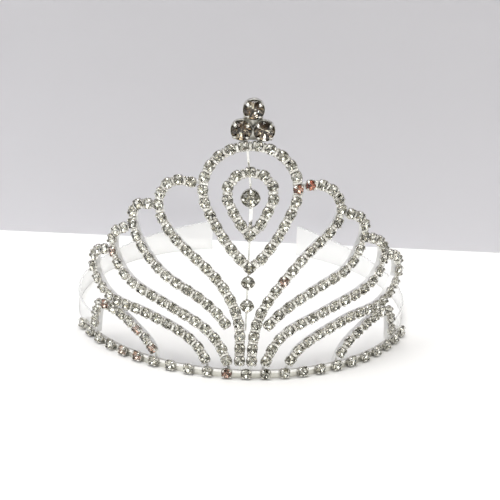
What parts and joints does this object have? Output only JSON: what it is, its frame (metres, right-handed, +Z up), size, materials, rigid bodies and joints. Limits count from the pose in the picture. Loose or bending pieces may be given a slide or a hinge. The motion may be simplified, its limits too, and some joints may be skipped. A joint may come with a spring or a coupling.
{
  "type": "bridal tiara",
  "caption": "Open-work bridal tiara: rows of cup-set clear stones on bent silver-plated wire petals round a teardrop with a raised crest, on a curved band with clear end strips.",
  "frame": {"origin": "middle of the footprint, on the surface that the band and the clear strips stand on", "axes": "+Z up; -Y out of the tiara's front, towards the viewer of the crest; +X to the viewer's right"},
  "size_m": [0.1308, 0.1338, 0.1123],
  "materials": {
    "silver_plate": "bright silver plate with a soft polish",
    "rhinestone": "cut, foil-backed clear crystal",
    "clear_plastic": "clear, flexible, glossy"
  },
  "bodies": {
    "root": {"base_band": "silver_plate", "base_cups": "silver_plate", "base_links": "silver_plate", "base_stones": "rhinestone", "centre_cup": "silver_plate", "centre_post": "silver_plate", "centre_stone": "rhinestone", "clear_strip_left": "clear_plastic", "clear_strip_right": "clear_plastic", "crest_cups": "silver_plate", "crest_plate": "silver_plate", "crest_stones": "rhinestone", "inner_teardrop_cups": "silver_plate", "inner_teardrop_stones": "rhinestone", "inner_teardrop_wire": "silver_plate", "outer_teardrop_cups": "silver_plate", "outer_teardrop_stones": "rhinestone", "outer_teardrop_wire": "silver_plate", "petal_a_left_cups": "silver_plate", "petal_a_left_stones": "rhinestone", "petal_a_left_wire": "silver_plate", "petal_a_right_cups": "silver_plate", "petal_a_right_stones": "rhinestone", "petal_a_right_wire": "silver_plate", "petal_b_left_cups": "silver_plate", "petal_b_left_stones": "rhinestone", "petal_b_left_wire": "silver_plate", "petal_b_right_cups": "silver_plate", "petal_b_right_stones": "rhinestone", "petal_b_right_wire": "silver_plate", "petal_c_left_cups": "silver_plate", "petal_c_left_stones": "rhinestone", "petal_c_left_wire": "silver_plate", "petal_c_right_cups": "silver_plate", "petal_c_right_stones": "rhinestone", "petal_c_right_wire": "silver_plate", "petal_d_left_cups": "silver_plate", "petal_d_left_stones": "rhinestone", "petal_d_left_wire": "silver_plate", "petal_d_right_cups": "silver_plate", "petal_d_right_stones": "rhinestone", "petal_d_right_wire": "silver_plate", "petal_e_left_cups": "silver_plate", "petal_e_left_stones": "rhinestone", "petal_e_left_wire": "silver_plate", "petal_e_right_cups": "silver_plate", "petal_e_right_stones": "rhinestone", "petal_e_right_wire": "silver_plate", "spine_cups": "silver_plate", "spine_lower_wire": "silver_plate", "spine_posts": "silver_plate", "spine_stem_bar": "silver_plate", "spine_stones": "rhinestone", "spine_upper_wire": "silver_plate"}
  },
  "joints": []
}
